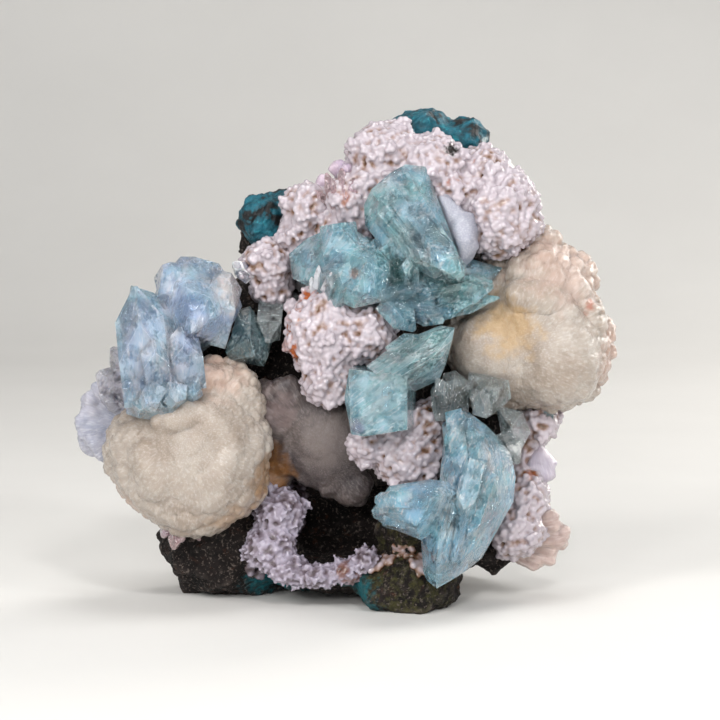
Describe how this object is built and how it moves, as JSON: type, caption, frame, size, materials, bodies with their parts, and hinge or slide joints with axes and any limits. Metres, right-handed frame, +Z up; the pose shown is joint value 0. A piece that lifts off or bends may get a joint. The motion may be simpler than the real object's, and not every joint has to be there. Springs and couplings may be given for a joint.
{
  "type": "mineral specimen",
  "caption": "Freestanding mineral specimen: glassy pale green-blue crystals and cream bladed sheaves on beaded white crust over a dark rock base with a small open hollow and flat feet.",
  "frame": {"origin": "on the table under the middle of the specimen's box", "axes": "+Z up; the show face looks along -Y; +X to the viewer's right along the widest extent"},
  "size_m": [0.12, 0.072, 0.1086],
  "materials": {
    "basalt": "rough broken rock with rusty specks",
    "celadonite": "waxy mottled teal",
    "apophyllite": "glassy, cloudy inside, finely striated",
    "apophyllite_pale": "glassy, cloudy inside",
    "clear_crystal": "glassy and clear",
    "stilbite": "pearly, translucent, finely bladed",
    "stilbite_grey": "pearly, translucent, finely bladed",
    "chalcedony": "small glossy beads"
  },
  "bodies": {
    "root": {"basalt_matrix": "basalt", "celadonite_cap": "celadonite", "celadonite_knob": "celadonite", "apophyllite_upper": "apophyllite", "apophyllite_bowtie": "apophyllite", "apophyllite_lower": "apophyllite", "apophyllite_left": "apophyllite_pale", "apophyllite_left_dark": "apophyllite", "apophyllite_clear": "clear_crystal", "clear_prism": "clear_crystal", "clear_points": "clear_crystal", "stilbite_left_fan": "stilbite", "stilbite_right_fan": "stilbite", "stilbite_upper_lobe": "stilbite_grey", "stilbite_lower_blades": "stilbite_grey", "stilbite_right_blade": "stilbite_grey", "stilbite_centre": "stilbite_grey", "stilbite_far_left": "stilbite_grey", "stilbite_crest_blades": "stilbite_grey", "chalcedony_crown": "chalcedony", "chalcedony_arm": "chalcedony", "chalcedony_left_patch": "chalcedony", "chalcedony_middle": "chalcedony", "chalcedony_lower": "chalcedony", "chalcedony_right": "chalcedony", "chalcedony_hollow": "chalcedony"}
  },
  "joints": []
}
